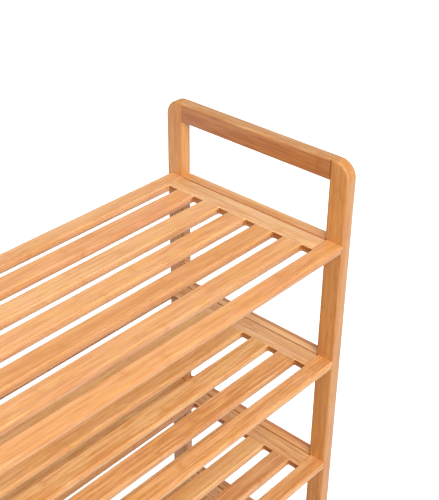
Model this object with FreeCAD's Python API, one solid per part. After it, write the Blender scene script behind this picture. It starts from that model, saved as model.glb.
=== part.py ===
import FreeCAD, Part
import os
from FreeCAD import Vector

# Four-tier slatted shoe rack: two end frames, each with a handle on top, and four slatted shelves
# held between them. Millimetres, +Z up, origin on the floor under the middle of the rack.
# X runs along the shelves, -Y is the front.

os.makedirs("parts", exist_ok=True)

# overall sizes
LENGTH = 700.0              # over the outer faces of the two end frames
DEPTH = 280.0               # front face of the front posts to back face of the back posts
TIERS = 4
TIER_PITCH = 166.0          # shelf top to shelf top
LOWEST_TOP = 100.0          # top of the lowest shelf above the floor
HANDLE_RISE = 102.0         # top of the handle above the top shelf

# end frames
POST_W = 26.5               # along the depth
POST_T = 16.0               # along the length
HANDLE_H = 26.5
CORNER_R = 21.0             # outer top corners of the loop
FRAME_EDGE_R = 3.0          # eased long edges of posts and handles
RAIL_EDGE_R = 1.0           # crisper edges of the cross rails

# shelves
SHELF_T = 10.0
BACK_SETBACK = 5.0          # back of the shelf inside the back of the posts; its front is flush
RAIL_STEP = 3.0             # front and back rails are this much narrower than the posts
LONG_RAIL_EDGE_R = 3.0      # rounded outer edges of the front and back rails
SLAT_W = 26.6
SLATS = 5                   # between the front and back rails
END_RAIL_W = 25.5           # from the ends of the slots to the outer side of the end rail
END_RAIL_EDGE_R = 0.6       # outer edges of the end rails
END_RAIL_GAP = 0.8          # open joint between an end rail and the cross rail beside it
SLOT_CORNER_R = 1.5         # corners of the slots between the slats, seen from above
SLOT_RIM_R = 1.5            # rounding round the rim of each slot, above and below
SLOT_CLEANUP = 0.6          # the outermost slots are milled this far into the long rails
LONG_RAIL_W = POST_W - RAIL_STEP

# hidden joinery, tied to the pieces it joins
TENON_T = 0.45 * SHELF_T
SLAT_TENON_W = 0.65 * SLAT_W
SLAT_TENON_L = 0.45 * END_RAIL_W
END_TENON_W = 0.65 * END_RAIL_W
END_TENON_L = 0.4 * LONG_RAIL_W
SCREW_R = 2.0
SCREW_HEAD_R = 4.0
SCREW_HEAD_H = SCREW_HEAD_R - SCREW_R
SCREW_IN_RAIL = 30.0
SCREW_INSET = 0.4 * LONG_RAIL_W
DRIVE_W = 1.0
DRIVE_D = 1.4
WOOD_WALL = 2.0             # least wood left between a dowel and a screw
DOWEL_R = 3.0
DOWEL_IN_RAIL = 18.0
DOWEL_IN_POST = POST_W - BACK_SETBACK - SCREW_INSET - SCREW_R - WOOD_WALL
HANDLE_DOWEL_DZ = 0.24 * HANDLE_H

# derived planes
HEIGHT = LOWEST_TOP + (TIERS - 1) * TIER_PITCH + HANDLE_RISE
X_IN = LENGTH / 2.0 - POST_T                # inner plane of the right end frame
X_OUT = LENGTH / 2.0
X_END_RAIL = X_IN - END_RAIL_GAP            # outer side of the end rails
X_SLOT = X_END_RAIL - END_RAIL_W            # ends of the slots
X_SLAT = X_SLOT - SLOT_CORNER_R             # where the slats meet the end rails
Y_OUT = DEPTH / 2.0
Y_POST = Y_OUT - POST_W                     # inner side of the back posts
Y_FRONT = -Y_OUT                            # front and back of a shelf
Y_BACK = Y_OUT - BACK_SETBACK
SLAT_ROOM = Y_BACK - Y_FRONT - 2.0 * LONG_RAIL_W
SLAT_GAP = (SLAT_ROOM - SLATS * SLAT_W) / (SLATS + 1)
SIDES = (("left", -1.0), ("right", 1.0))
ENDS = (("front", -1.0), ("back", 1.0))


def shelf_top(tier):
    """Height of a shelf's top face; tier 1 is the top shelf."""
    return LOWEST_TOP + (TIERS - tier) * TIER_PITCH


def shelf_edge(end):
    """Outer face of a shelf's front rail (end -1) or back rail (end 1)."""
    return Y_FRONT if end < 0 else Y_BACK


def block(x0, x1, y0, y1, z0, z1):
    """Box between two corners given in any order."""
    low = Vector(min(x0, x1), min(y0, y1), min(z0, z1))
    return Part.makeBox(abs(x1 - x0), abs(y1 - y0), abs(z1 - z0), low)


def rod(radius, start, end):
    """Cylinder between two points."""
    run = end.sub(start)
    return Part.makeCylinder(radius, run.Length, start, run)


def edges_along(shape, axis, keep=None):
    """Straight edges parallel to one axis, optionally only those whose middle passes a test."""
    found = []
    for edge in shape.Edges:
        run = edge.lastVertex().Point.sub(edge.firstVertex().Point)
        if run.Length < 1e-6:
            continue
        if abs(abs(run.dot(axis)) / run.Length - 1.0) > 1e-6:
            continue
        if keep is None or keep(edge.CenterOfMass):
            found.append(edge)
    return found


def bar(corner0, corner1, axis, radius):
    """Rectangular bar with its long edges eased."""
    solid = block(corner0[0], corner1[0], corner0[1], corner1[1], corner0[2], corner1[2])
    return solid.makeFillet(radius, edges_along(solid, axis))


def save(name, solids):
    """Write one node; several identical solids go in one file as a group."""
    shape = solids[0] if len(solids) == 1 else Part.makeCompound(solids)
    shape.exportStep("parts/" + name + ".step")


def post(side, end):
    """Upright with a large round at its outer top corner and eased edges all the way round."""
    y_face = end * Y_OUT
    y_side = end * Y_POST
    x0 = side * X_IN
    along = Vector(side * POST_T, 0, 0)
    arc_mid_y = y_face - end * CORNER_R * (1.0 - 0.5 ** 0.5)
    arc_mid_z = HEIGHT - CORNER_R * (1.0 - 0.5 ** 0.5)
    p_inner_low = Vector(x0, y_side, 0)
    p_outer_low = Vector(x0, y_face, 0)
    p_arc_low = Vector(x0, y_face, HEIGHT - CORNER_R)
    p_arc_mid = Vector(x0, arc_mid_y, arc_mid_z)
    p_arc_high = Vector(x0, y_face - end * CORNER_R, HEIGHT)
    p_inner_high = Vector(x0, y_side, HEIGHT)
    outline = Part.Wire([
        Part.makeLine(p_inner_low, p_outer_low),
        Part.makeLine(p_outer_low, p_arc_low),
        Part.Arc(p_arc_low, p_arc_mid, p_arc_high).toShape(),
        Part.makeLine(p_arc_high, p_inner_high),
        Part.makeLine(p_inner_high, p_inner_low),
    ])
    solid = Part.Face(outline).extrude(along)
    rims = [e for e in solid.Edges
            if abs(e.CenterOfMass.x - x0) < 1e-6 or abs(e.CenterOfMass.x - x0 - along.x) < 1e-6]
    solid = solid.makeFillet(FRAME_EDGE_R, rims)
    for cutter in post_holes(side, end):
        solid = solid.cut(cutter)
    return solid


def dowels(side, end):
    """Wooden pegs that hold one post to its cross rails and handle."""
    x = side * (X_IN + POST_T / 2.0)
    y_deep = end * (Y_POST + DOWEL_IN_POST)
    y_rail = end * (Y_POST - DOWEL_IN_RAIL)
    heights = [shelf_top(tier) - SHELF_T / 2.0 for tier in range(1, TIERS + 1)]
    handle_mid = HEIGHT - HANDLE_H / 2.0
    heights.append(handle_mid - HANDLE_DOWEL_DZ)
    heights.append(handle_mid + HANDLE_DOWEL_DZ)
    return [rod(DOWEL_R, Vector(x, y_rail, z), Vector(x, y_deep, z)) for z in heights]


def screw_body(side, end, tier):
    """Countersunk wood screw, head flush with the outer face of the post, without its drive."""
    y = shelf_edge(end) - end * SCREW_INSET
    z = shelf_top(tier) - SHELF_T / 2.0
    tip = Vector(side * (X_IN - SCREW_IN_RAIL), y, z)
    face = Vector(side * X_OUT, y, z)
    neck = Vector(side * (X_OUT - SCREW_HEAD_H), y, z)
    shank = rod(SCREW_R, tip, neck)
    head = Part.makeCone(SCREW_R, SCREW_HEAD_R, SCREW_HEAD_H, neck, face.sub(neck))
    return shank.fuse(head).removeSplitter()


def screw(side, end, tier):
    """Screw with a cross recess in its head."""
    y = shelf_edge(end) - end * SCREW_INSET
    z = shelf_top(tier) - SHELF_T / 2.0
    x_face = side * X_OUT
    x_deep = side * (X_OUT - DRIVE_D)
    reach = 0.6 * SCREW_HEAD_R
    flat = block(x_face, x_deep, y - reach, y + reach, z - DRIVE_W / 2.0, z + DRIVE_W / 2.0)
    tall = block(x_face, x_deep, y - DRIVE_W / 2.0, y + DRIVE_W / 2.0, z - reach, z + reach)
    return screw_body(side, end, tier).cut(flat).cut(tall)


def post_holes(side, end):
    """Everything that enters one post."""
    cutters = dowels(side, end)
    for tier in range(1, TIERS + 1):
        cutters.append(screw_body(side, end, tier))
    return cutters


def frame_rail(side, z0, z1, radius):
    """Rail between the two posts of one end frame, bored for its dowels."""
    solid = bar((side * X_IN, -Y_POST, z0), (side * X_OUT, Y_POST, z1), Vector(0, 1, 0), radius)
    for _, end in ENDS:
        for peg in dowels(side, end):
            if z0 < peg.CenterOfMass.z < z1:
                solid = solid.cut(peg)
    return solid


def end_tenon(side, end, tier):
    """Tongue at one end of an end rail, let into the front or back rail of the shelf."""
    z_mid = shelf_top(tier) - SHELF_T / 2.0
    x_mid = side * (X_END_RAIL - END_RAIL_W / 2.0)
    y0 = shelf_edge(end) - end * LONG_RAIL_W
    y1 = y0 + end * END_TENON_L
    half_w = END_TENON_W / 2.0
    half_t = TENON_T / 2.0
    return block(x_mid - half_w, x_mid + half_w, y0, y1, z_mid - half_t, z_mid + half_t)


def slat_tenon(side, y_mid, tier):
    """Tongue at one end of a slat, let into an end rail."""
    z_mid = shelf_top(tier) - SHELF_T / 2.0
    x0 = side * X_SLAT
    x1 = side * (X_SLAT + SLAT_TENON_L)
    half_w = SLAT_TENON_W / 2.0
    half_t = TENON_T / 2.0
    return block(x0, x1, y_mid - half_w, y_mid + half_w, z_mid - half_t, z_mid + half_t)


def slat_positions():
    """Middle of each slat, front to back, with equal gaps between slats and rails."""
    first = Y_FRONT + LONG_RAIL_W + SLAT_GAP + SLAT_W / 2.0
    return [first + (SLAT_W + SLAT_GAP) * n for n in range(SLATS)]


def is_rim(edge, x, y0, y1):
    """Whether an edge is level and belongs to the outline of a slot."""
    slack = 1e-4
    box = edge.BoundBox
    within_length = max(box.XMax, -box.XMin) < x + slack
    within_width = box.YMin > y0 - slack and box.YMax < y1 + slack
    return box.ZLength < slack and within_length and within_width


def slot(number, tier):
    """What is milled out between two bars of a shelf: round corners, and a rim that rolls over."""
    top = shelf_top(tier)
    y0 = Y_FRONT + LONG_RAIL_W + (SLAT_W + SLAT_GAP) * number
    y1 = y0 + SLAT_GAP
    if number == 0:
        y0 -= SLOT_CLEANUP
    if number == SLATS:
        y1 += SLOT_CLEANUP
    hole = block(-X_SLOT, X_SLOT, y0, y1, top - SHELF_T, top)
    hole = hole.makeFillet(SLOT_CORNER_R, edges_along(hole, Vector(0, 0, 1)))
    reach = 2.0 * SLOT_RIM_R
    around = block(-X_SLOT - reach, X_SLOT + reach, y0 - reach, y1 + reach, top - SHELF_T, top)
    stock = around.cut(hole)
    rims = [e for e in stock.Edges if is_rim(e, X_SLOT, y0, y1)]
    return around.cut(stock.makeFillet(SLOT_RIM_R, rims))


def long_rail(end, tier, cutter):
    """Front or back rail of a shelf, running the whole way from end frame to end frame."""
    top = shelf_top(tier)
    y_inner = shelf_edge(end) - end * LONG_RAIL_W
    solid = block(-X_IN, X_IN, y_inner, shelf_edge(end), top - SHELF_T, top)
    outer = edges_along(solid, Vector(1, 0, 0), lambda middle: abs(middle.y - y_inner) > 1e-6)
    solid = solid.makeFillet(LONG_RAIL_EDGE_R, outer).cut(cutter)
    for _, side in SIDES:
        solid = solid.cut(end_tenon(side, end, tier))
        solid = solid.cut(screw_body(side, end, tier))
    return solid


def end_rail(side, tier, cutters):
    """Cross piece of a shelf that takes the ends of the slats."""
    top = shelf_top(tier)
    x_outer = side * X_END_RAIL
    y_front = Y_FRONT + LONG_RAIL_W
    y_back = Y_BACK - LONG_RAIL_W
    solid = block(side * X_SLAT, x_outer, y_front, y_back, top - SHELF_T, top)
    outer = edges_along(solid, Vector(0, 1, 0), lambda middle: abs(middle.x - x_outer) < 1e-6)
    solid = solid.makeFillet(END_RAIL_EDGE_R, outer)
    for _, end in ENDS:
        solid = solid.fuse(end_tenon(side, end, tier))
    for y_mid in slat_positions():
        solid = solid.cut(slat_tenon(side, y_mid, tier))
    for cutter in cutters:
        solid = solid.cut(cutter)
    return solid.removeSplitter()


def slat(y_mid, tier, cutters):
    """One slat with a tongue at each end, and both long sides shaped by the slots beside it."""
    top = shelf_top(tier)
    solid = block(-X_SLAT, X_SLAT, y_mid - SLAT_W / 2.0, y_mid + SLAT_W / 2.0, top - SHELF_T, top)
    for cutter in cutters:
        solid = solid.cut(cutter)
    for _, side in SIDES:
        solid = solid.fuse(slat_tenon(side, y_mid, tier))
    return solid.removeSplitter()


# end frames
all_dowels = []
all_screws = []
for side_name, side in SIDES:
    for end_name, end in ENDS:
        save(side_name + "_" + end_name + "_post", [post(side, end)])
        all_dowels.extend(dowels(side, end))
        for tier in range(1, TIERS + 1):
            all_screws.append(screw(side, end, tier))
    save(side_name + "_handle_rail", [frame_rail(side, HEIGHT - HANDLE_H, HEIGHT, FRAME_EDGE_R)])
    for tier in range(1, TIERS + 1):
        top = shelf_top(tier)
        save(side_name + "_cross_rail_" + str(tier), [frame_rail(side, top - SHELF_T, top, RAIL_EDGE_R)])

# shelves
for tier in range(1, TIERS + 1):
    name = "shelf" + str(tier) + "_"
    cutters = [slot(number, tier) for number in range(SLATS + 1)]
    save(name + "front_rail", [long_rail(-1.0, tier, cutters[0])])
    save(name + "back_rail", [long_rail(1.0, tier, cutters[-1])])
    for side_name, side in SIDES:
        save(name + side_name + "_end_rail", [end_rail(side, tier, cutters)])
    for number, y_mid in enumerate(slat_positions()):
        save(name + "slat_" + str(number + 1), [slat(y_mid, tier, cutters[number:number + 2])])

# hardware shared by the whole rack
save("frame_dowels", all_dowels)
save("shelf_screws", all_screws)
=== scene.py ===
import math
import random

import bpy
from mathutils import Matrix, Vector


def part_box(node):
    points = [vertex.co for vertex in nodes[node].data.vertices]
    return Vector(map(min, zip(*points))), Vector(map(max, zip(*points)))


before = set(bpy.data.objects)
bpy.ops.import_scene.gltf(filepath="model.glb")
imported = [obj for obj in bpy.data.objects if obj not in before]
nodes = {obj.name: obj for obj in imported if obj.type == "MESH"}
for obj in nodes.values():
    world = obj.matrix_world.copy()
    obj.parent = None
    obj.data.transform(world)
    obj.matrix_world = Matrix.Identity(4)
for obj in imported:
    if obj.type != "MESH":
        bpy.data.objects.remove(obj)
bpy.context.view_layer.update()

# camera, metres and degrees, in the rack's own frame
CAMERA_AT = Vector((-0.4887, -0.6840, 1.1902))
CAMERA_HEADING = -48.32     # 0 looks along +Y
CAMERA_DOWN = 31.49
CAMERA_ROLL = 0.59
CAMERA_SENSOR = 36.0        # mm, along the long side of the picture
CAMERA_LENS = 72.15         # mm

# tones of bamboo, linear light
HONEY = (0.79, 0.39, 0.150)
STRAW = (0.84, 0.47, 0.215)
AMBER = (0.66, 0.30, 0.090)
RUST = (0.46, 0.174, 0.047)
HANDLE_TOP = (0.64, 0.33, 0.130)   # lighter tone along the top of the handles
PEG = (0.78, 0.60, 0.38)
ZINC = (0.60, 0.59, 0.56)

# the glued strips of the bamboo, metres
FRAME_STRIP = 0.0066        # also in the end rails and dowels
POST_STRIP = 0.0088
SHELF_STRIP = 0.0115
KNUCKLE_EVERY = 0.23

# how strongly the figure of the wood shows
FAINT = 0.6
STRONG = 1.5
STRONGEST = 1.7

# how far the rounding of edges reaches, metres
SLOT_CORNER = 0.0015        # corners of the slots, inside the end rails
SLAT_RIM = 0.0015
RAIL_RIM = 0.0020

# what dims or lifts the wood in places, as a share of its tone
SAWN_AND_SLOT_SHADE = (0.40, 0.25, 0.09)   # bare sawn faces at the ends of the slots, with painted shade of the deep slot over their upper part
LIFT = (1.60, 1.75, 1.70)   # their lower part, which light reaches from below
NOOK_SHADE = (0.60, 0.45, 0.32)   # painted shade in the corners beside them
DIRT_AND_JOINT_SHADE = (0.66, 0.48, 0.30)   # open joints: dirt, with painted shadow in the gap
GLUE = (0.82, 0.72, 0.66)   # glue between two plies
EDGE_SHADE = (0.72, 0.58, 0.42)   # painted shade on edges that roll away from the light
FRONT_SHADE = (0.93, 0.95, 0.98)  # painted shade on the front faces below the rounding
INNER_SIDE_SHADE = (0.90, 0.90, 0.84) # painted shade on the posts' side towards the shelves

# how bars sawn from different canes differ from the tone of their kind; on bars of the lower shelves,
# the two brightest tints are painted light where the shelf above shades them
PALE = (1.06, 1.13, 1.22)
ROSY = (1.03, 1.02, 1.12)
WARM = (0.98, 0.93, 0.84)
FAIR = (1.08, 1.10, 1.04)
# painted light: the next two tints brighten bars of the lower shelves under the shelf above
BRIGHT_PAINTED_LIGHT = (1.16, 1.24, 1.20)
STRONGER_PAINTED_LIGHT = (1.26, 1.28, 1.25)
SHADES = {
    "shelf1_back_rail": PALE, "shelf1_slat_4": PALE, "shelf1_slat_5": ROSY,
    "shelf1_slat_2": WARM, "shelf1_front_rail": WARM, "shelf2_slat_1": FAIR,
    "shelf2_slat_4": STRONGER_PAINTED_LIGHT, "shelf2_slat_2": BRIGHT_PAINTED_LIGHT, "shelf2_slat_3": BRIGHT_PAINTED_LIGHT,
    "shelf2_front_rail": FAIR, "shelf3_slat_2": STRONGER_PAINTED_LIGHT, "shelf3_slat_3": BRIGHT_PAINTED_LIGHT,
    "shelf3_back_rail": BRIGHT_PAINTED_LIGHT, "shelf3_right_end_rail": WARM, "shelf2_slat_5": WARM,
    "shelf3_slat_4": WARM, "shelf3_front_rail": FAIR, "shelf4_slat_3": PALE,
    "shelf4_slat_1": WARM,
}
# bars of the lower shelves with as little figure as the top shelf
SMOOTH = ("shelf2_slat_3", "shelf2_slat_4", "shelf3_slat_2")


class Graph:
    """Small helper that adds shader nodes and links them."""

    def __init__(self, material):
        self.tree = material.node_tree
        self.tree.nodes.clear()

    def add(self, kind, **settings):
        node = self.tree.nodes.new(kind)
        for key, value in settings.items():
            setattr(node, key, value)
        return node

    def link(self, source, target):
        self.tree.links.new(source, target)

    def feed(self, socket, value):
        """Connects a socket to another, or sets it to a constant."""
        if isinstance(value, bpy.types.NodeSocket):
            self.link(value, socket)
        else:
            socket.default_value = value

    def math(self, operation, a, b=0.0):
        node = self.add("ShaderNodeMath", operation=operation)
        self.feed(node.inputs[0], a)
        self.feed(node.inputs[1], b)
        return node.outputs[0]

    def scaled(self, vector, scale, shift=(0.0, 0.0, 0.0)):
        node = self.add("ShaderNodeVectorMath", operation="MULTIPLY_ADD")
        self.feed(node.inputs[0], vector)
        node.inputs[1].default_value = scale
        node.inputs[2].default_value = shift
        return node.outputs[0]

    def noise(self, vector, detail=2.0, roughness=0.5, distortion=0.0):
        node = self.add("ShaderNodeTexNoise")
        self.link(vector, node.inputs["Vector"])
        node.inputs["Scale"].default_value = 1.0
        node.inputs["Detail"].default_value = detail
        node.inputs["Roughness"].default_value = roughness
        node.inputs["Distortion"].default_value = distortion
        return node.outputs[0]

    def ramp(self, value, low, high, to_low=0.0, to_high=1.0):
        node = self.add("ShaderNodeMapRange", interpolation_type="SMOOTHSTEP")
        self.feed(node.inputs["Value"], value)
        node.inputs["From Min"].default_value = low
        node.inputs["From Max"].default_value = high
        node.inputs["To Min"].default_value = to_low
        node.inputs["To Max"].default_value = to_high
        return node.outputs["Result"]

    def mix(self, share, a, b, blend="MIX"):
        node = self.add("ShaderNodeMix", data_type="RGBA", blend_type=blend)
        self.feed(node.inputs[0], share)
        for socket, value in ((node.inputs[6], a), (node.inputs[7], b)):
            self.feed(socket, value if isinstance(value, bpy.types.NodeSocket) else (*value, 1.0))
        return node.outputs[2]


def grain_space(graph, grain):
    """Position in metres as (along the grain, across it, through it)."""
    place = graph.add("ShaderNodeTexCoord").outputs["Object"]
    parts = graph.add("ShaderNodeSeparateXYZ")
    graph.link(place, parts.inputs[0])
    order = {"x": (0, 1, 2), "y": (1, 0, 2), "z": (2, 1, 0)}[grain]
    made = graph.add("ShaderNodeCombineXYZ")
    for target, source in enumerate(order):
        graph.link(parts.outputs[source], made.inputs[target])
    return made.outputs[0], parts


def tinted(tone, factor):
    """Tone times a tint, kept below full white."""
    return tuple(min(0.93, c * f) for c, f in zip(tone, factor))


def figured(graph, place, cut, tone, seed, strip, contrast):
    """Colour of laminated bamboo, and the heights of its fibres, knuckles and glue lines."""
    light = tinted(tone, (1.08, 1.18, 1.32))
    deep = tinted(tone, (0.76, 0.60, 0.42))
    rosy = tinted(tone, (1.02, 0.95, 1.14))
    gold = tinted(tone, (1.03, 1.05, 0.78))

    # strips glued side by side, each with its own shade and its own knuckles
    across = graph.math("DIVIDE", cut.outputs[1], strip)
    dice = graph.add("ShaderNodeTexWhiteNoise", noise_dimensions="1D")
    graph.link(graph.math("ADD", graph.math("FLOOR", across), seed * 1.7), dice.inputs["W"])
    chance = dice.outputs["Value"]
    off_middle = graph.math("ABSOLUTE", graph.math("SUBTRACT", graph.math("FRACT", across), 0.5))
    glue = graph.ramp(off_middle, 0.46, 0.5)

    # long figure, short blotches, fibres and the dashes of cut vessels
    figure = graph.noise(graph.scaled(place, (4.0, 110.0, 110.0)), 3.0, 0.6, 0.2)
    blotch = graph.noise(graph.scaled(place, (26.0, 170.0, 170.0)), 3.0, 0.6, 0.3)
    other = graph.noise(graph.scaled(place, (22.0, 140.0, 140.0), (5.3, 2.1, 7.7)), 3.0, 0.6, 0.3)
    fibre = graph.noise(graph.scaled(place, (16.0, 320.0, 320.0)), 4.0, 0.7, 0.1)
    dash = graph.noise(graph.scaled(place, (60.0, 1100.0, 1100.0)), 2.0, 0.6)

    colour = graph.mix(graph.ramp(figure, 0.38, 0.62), deep, light)
    colour = graph.mix(0.55 * contrast, tone, colour)
    colour = graph.mix(graph.ramp(blotch, 0.46, 0.62, 0.0, 0.7), colour, rosy)
    colour = graph.mix(graph.ramp(other, 0.48, 0.64, 0.0, 0.7), colour, gold)
    colour = graph.mix(graph.ramp(chance, 0.0, 1.0, 0.0, 0.22 * contrast), colour, deep)
    colour = graph.mix(graph.ramp(fibre, 0.50, 0.68, 0.0, 0.75 * contrast), colour, deep)
    colour = graph.mix(graph.ramp(fibre, 0.32, 0.48, 0.75 * contrast, 0.0), colour, light)
    colour = graph.mix(graph.ramp(dash, 0.58, 0.72, 0.0, 0.5 * contrast), colour, deep)
    colour = graph.mix(graph.math("MULTIPLY", glue, 0.25), colour, deep)

    # knuckles of the cane: a soft dark blotch with a thin ridge in it
    wave = graph.math("MULTIPLY", graph.math("SUBTRACT", blotch, 0.5), 0.012)
    along = graph.math("DIVIDE", graph.math("ADD", cut.outputs[0], wave), KNUCKLE_EVERY)
    along = graph.math("ADD", along, graph.math("MULTIPLY", chance, 7.3))
    ring = graph.math("ABSOLUTE", graph.math("SUBTRACT", graph.math("FRACT", along), 0.5))
    core = graph.ramp(ring, 0.002, 0.008, 1.0, 0.0)
    halo = graph.ramp(ring, 0.006, 0.040, 1.0, 0.0)
    colour = graph.mix(graph.math("MULTIPLY", halo, 0.20 * contrast), colour, deep)
    colour = graph.mix(graph.math("MULTIPLY", core, 0.30 * contrast), colour, deep)

    height = graph.math("ADD", graph.math("MULTIPLY", fibre, 0.7), graph.math("MULTIPLY", core, 0.7))
    height = graph.math("SUBTRACT", height, graph.math("MULTIPLY", glue, 0.5))
    return colour, height, fibre


def bamboo(name, grain, tone, seed, strip=FRAME_STRIP, contrast=1.0, zones=()):
    """Lacquered laminated bamboo. A zone is a tint with one or more (axis, from, to) limits. It
    fades in between the two distances of each, which for x are outward from the rack's middle."""
    material = bpy.data.materials.new(name)
    material.use_nodes = True
    graph = Graph(material)
    place, parts = grain_space(graph, grain)
    shift = (seed * 0.731 % 9.0, seed * 0.377 % 7.0, seed * 0.193 % 5.0)
    moved = graph.scaled(place, (1.0, 1.0, 1.0), shift)
    cut = graph.add("ShaderNodeSeparateXYZ")
    graph.link(moved, cut.inputs[0])
    colour, height, fibre = figured(graph, moved, cut, tone, seed, strip, contrast)

    for tint, *limits in zones:
        within = 1.0
        for axis, start, stop in limits:
            spot = parts.outputs["xyz".index(axis)]
            if axis == "x":
                spot = graph.math("ABSOLUTE", spot)
            rising = (0.0, 1.0) if stop > start else (1.0, 0.0)
            inside = graph.ramp(spot, min(start, stop), max(start, stop), *rising)
            within = graph.math("MULTIPLY", within, inside)
        colour = graph.mix(within, colour, graph.mix(1.0, colour, tint, "MULTIPLY"))

    shader = graph.add("ShaderNodeBsdfPrincipled")
    graph.link(colour, shader.inputs["Base Color"])
    graph.link(graph.ramp(fibre, 0.3, 0.8, 0.44, 0.60), shader.inputs["Roughness"])
    shader.inputs["Coat Weight"].default_value = 0.30
    shader.inputs["Coat Roughness"].default_value = 0.30
    bump = graph.add("ShaderNodeBump")
    bump.inputs["Strength"].default_value = 0.35
    bump.inputs["Distance"].default_value = 0.0002
    graph.link(height, bump.inputs["Height"])
    graph.link(bump.outputs["Normal"], shader.inputs["Normal"])
    out = graph.add("ShaderNodeOutputMaterial")
    graph.link(shader.outputs[0], out.inputs["Surface"])
    return material


def steel(name):
    """Zinc-plated screw heads, faintly mottled."""
    material = bpy.data.materials.new(name)
    material.use_nodes = True
    graph = Graph(material)
    place = graph.add("ShaderNodeTexCoord").outputs["Object"]
    spangle = graph.noise(graph.scaled(place, (900.0, 900.0, 900.0)), 3.0, 0.6)
    dull = tuple(0.72 * c for c in ZINC)
    shader = graph.add("ShaderNodeBsdfPrincipled")
    graph.link(graph.mix(graph.ramp(spangle, 0.35, 0.7), dull, ZINC), shader.inputs["Base Color"])
    graph.link(graph.ramp(spangle, 0.3, 0.7, 0.24, 0.42), shader.inputs["Roughness"])
    shader.inputs["Metallic"].default_value = 1.0
    out = graph.add("ShaderNodeOutputMaterial")
    graph.link(shader.outputs[0], out.inputs["Surface"])
    return material


def dress(name, material):
    """Gives every material slot of a CAD node the same finish."""
    mesh = nodes[name].data
    if not mesh.materials:
        mesh.materials.append(material)
    for index in range(len(mesh.materials)):
        mesh.materials[index] = material


def from_middle(name):
    """How far along x from the rack's middle a node starts and ends."""
    low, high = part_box(name)
    return sorted((abs(low.x), abs(high.x)))


def post_finish(name, seed, tone):
    """Painted shade darkens the side towards the shelves."""
    inner = from_middle(name)[0]
    # painted shade on the inner side
    zones = [(INNER_SIDE_SHADE, ("x", inner + 0.0022, inner + 0.0008))]
    return bamboo(name, "z", tone, seed, strip=POST_STRIP, zones=zones)


def handle_finish(name, seed, tone):
    """Darker on the sides, lighter along the top."""
    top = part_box(name)[1].z
    pale = tuple(c / t for c, t in zip(HANDLE_TOP, tone))
    zones = [(pale, ("z", top - 0.0040, top - 0.0008))]
    return bamboo(name, "y", tone, seed, contrast=STRONG, zones=zones)


def cross_finish(name, seed, inner_tone, outer_tint, share):
    """Two plies side by side, with dark glue between them and dirt with painted shadow in the joint
    with the shelf.
    """
    inner, outer = from_middle(name)
    seam = inner + share * (outer - inner)
    zones = [
        (outer_tint, ("x", seam - 0.0002, seam + 0.0002)),
        (GLUE, ("x", seam - 0.0006, seam), ("x", seam + 0.0006, seam)),
        # dirt and painted shadow in the joint with the shelf
        (DIRT_AND_JOINT_SHADE, ("x", inner + 0.0017, inner + 0.0008)),
    ]
    return bamboo(name, "y", inner_tone, seed, zones=zones)


def end_finish(name, seed, tone):
    """Bare dark wood with painted shade at the ends of the slots, painted light on their lower part,
    and dirt with painted shadow in the joint with the frame.
    """
    inner, outer = from_middle(name)
    slot_end = inner + SLOT_CORNER
    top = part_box(name)[1].z
    zones = [
        # painted shade over bare sawn wood in the upper part of the slot ends, and painted light on
        # the part below
        (SAWN_AND_SLOT_SHADE, ("x", slot_end + 0.0015, slot_end + 0.0003), ("z", top - 0.0006, top - 0.0018)),
        (LIFT, ("x", slot_end + 0.0015, slot_end + 0.0003), ("z", top - 0.0045, top - 0.0080)),
        # dirt and painted shadow in the joint with the frame
        (DIRT_AND_JOINT_SHADE, ("x", outer - 0.0009, outer - 0.0003)),
    ]
    return bamboo(name, "y", tone, seed, contrast=STRONG, zones=zones)


def slat_finish(name, seed, tone, rim, end):
    """Slats, and front and back rails: painted shade where the back and under edges roll away, on the
    faces below the top face, and below the top face towards the end, which is given as a distance
    from the rack's middle."""
    low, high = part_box(name)
    zones = [
        # painted shade on the back and under edges
        (EDGE_SHADE, ("y", high.y - rim, high.y)),
        (EDGE_SHADE, ("z", low.z + 1.4 * rim, low.z + 0.3 * rim)),
        # painted shade on the faces below the top
        (FRONT_SHADE, ("z", high.z - 0.0010, high.z - 0.0030)),
        # painted shade on the slat's faces near the end rail, below the top face
        (NOOK_SHADE, ("x", end - 0.0050, end), ("z", high.z - 0.0015, high.z - 0.0040)),
    ]
    contrast = 1.0 if name.startswith("shelf1") or name in SMOOTH else STRONGEST
    return bamboo(name, "x", tone, seed, strip=SHELF_STRIP, contrast=contrast, zones=zones)


CROSS_PLIES = {
    "1": (tinted(HONEY, (1.00, 0.97, 0.92)), (1.05, 1.20, 1.35), 0.55),
    "2": (tinted(STRAW, (1.05, 1.08, 1.12)), (0.68, 0.52, 0.42), 0.60),
    "3": (tinted(HONEY, (1.06, 1.06, 1.06)), (0.78, 0.66, 0.60), 0.62),
    "4": (HONEY, (0.85, 0.75, 0.70), 0.50),
}

dice = random.Random(41)
for seed, name in enumerate(sorted(nodes), start=1):
    drift = dice.uniform(0.97, 1.03)
    factor = tuple(drift * c for c in SHADES.get(name, (1.0, 1.0, 1.0)))
    if name == "shelf_screws":
        dress(name, steel(name))
    elif name == "frame_dowels":
        dress(name, bamboo(name, "y", PEG, seed, contrast=FAINT))
    elif name.endswith("_post"):
        dress(name, post_finish(name, seed, tinted(AMBER, factor)))
    elif name.endswith("_handle_rail"):
        dress(name, handle_finish(name, seed, tinted(RUST, factor)))
    elif "_cross_rail_" in name:
        dress(name, cross_finish(name, seed, *CROSS_PLIES[name[-1]]))
    elif "_end_rail" in name:
        dress(name, end_finish(name, seed, tinted(STRAW, factor)))
    elif "_slat_" in name:
        shoulder = from_middle(name.split("_")[0] + "_right_end_rail")[0]
        dress(name, slat_finish(name, seed, tinted(HONEY, factor), SLAT_RIM, shoulder))
    else:
        post_face = from_middle(name)[1]
        dress(name, slat_finish(name, seed, tinted(HONEY, factor), RAIL_RIM, post_face))


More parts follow.
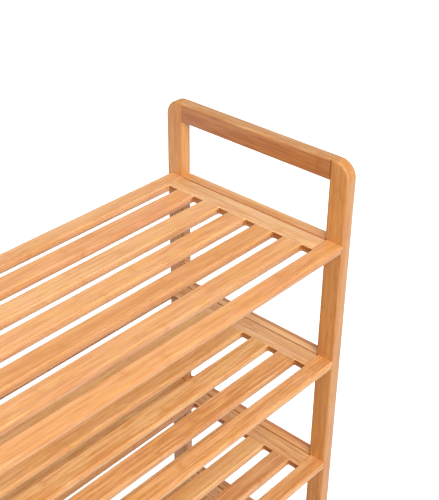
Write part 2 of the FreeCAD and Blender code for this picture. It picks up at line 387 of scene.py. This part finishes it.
def floor_material():
    """White floor that glows a little, so that it stays white under the rack."""
    material = bpy.data.materials.new("floor_white")
    material.use_nodes = True
    graph = Graph(material)
    place = graph.add("ShaderNodeTexCoord").outputs["Object"]
    tooth = graph.noise(graph.scaled(place, (60.0, 60.0, 60.0)), 2.0, 0.5)
    shader = graph.add("ShaderNodeBsdfPrincipled")
    white = graph.mix(graph.ramp(tooth, 0.3, 0.7), (0.93, 0.93, 0.93), (0.95, 0.95, 0.95))
    graph.link(white, shader.inputs["Base Color"])
    shader.inputs["Roughness"].default_value = 0.9
    shader.inputs["Emission Color"].default_value = (1.0, 1.0, 1.0, 1.0)
    shader.inputs["Emission Strength"].default_value = 0.7
    out = graph.add("ShaderNodeOutputMaterial")
    graph.link(shader.outputs[0], out.inputs["Surface"])
    return material


def make_floor(reach):
    """Large pale floor at the rack's feet."""
    mesh = bpy.data.meshes.new("floor")
    corners = [(-reach, -reach, 0.0), (reach, -reach, 0.0), (reach, reach, 0.0), (-reach, reach, 0.0)]
    mesh.from_pydata(corners, [], [(0, 1, 2, 3)])
    mesh.materials.append(floor_material())
    floor = bpy.data.objects.new("floor", mesh)
    bpy.context.scene.collection.objects.link(floor)
    floor.visible_diffuse = False


def soft_light(name, place, aim, size, power):
    """Square softbox turned to a point."""
    light = bpy.data.lights.new(name, "AREA")
    light.shape = "SQUARE"
    light.size = size
    light.energy = power
    lamp = bpy.data.objects.new(name, light)
    lamp.location = place
    lamp.rotation_mode = "QUATERNION"
    lamp.rotation_quaternion = (Vector(aim) - Vector(place)).to_track_quat("-Z", "Y")
    bpy.context.scene.collection.objects.link(lamp)


def studio_world(above, below):
    """Even white light from above the horizon and dimmer light from below it."""
    world = bpy.data.worlds.new("studio")
    world.use_nodes = True
    graph = Graph(world)
    direction = graph.add("ShaderNodeTexCoord").outputs["Generated"]
    parts = graph.add("ShaderNodeSeparateXYZ")
    graph.link(direction, parts.inputs[0])
    backdrop = graph.add("ShaderNodeBackground")
    graph.link(graph.ramp(parts.outputs[2], -0.15, 0.15, below, above), backdrop.inputs["Strength"])
    out = graph.add("ShaderNodeOutputWorld")
    graph.link(backdrop.outputs[0], out.inputs["Surface"])
    bpy.context.scene.world = world


make_floor(reach=14.0)
studio_world(above=0.60, below=0.25)
soft_light("overhead", place=(0.1, 0.1, 2.5), aim=(0.1, 0.0, 0.5), size=1.7, power=10.0)
soft_light("key", place=(-1.3, -2.3, 2.1), aim=(0.1, 0.0, 0.35), size=2.4, power=115.0)
bpy.context.scene.view_settings.view_transform = "Standard"

camera = bpy.data.objects.new("camera", bpy.data.cameras.new("camera"))
bpy.context.scene.collection.objects.link(camera)
camera.data.sensor_width = CAMERA_SENSOR
camera.data.lens = CAMERA_LENS
camera.data.clip_start = 0.02
camera.data.clip_end = 60.0
camera.matrix_world = (
    Matrix.Translation(CAMERA_AT)
    @ Matrix.Rotation(math.radians(CAMERA_HEADING), 4, "Z")
    @ Matrix.Rotation(math.radians(90.0 - CAMERA_DOWN), 4, "X")
    @ Matrix.Rotation(math.radians(CAMERA_ROLL), 4, "Z")
)
bpy.context.scene.camera = camera
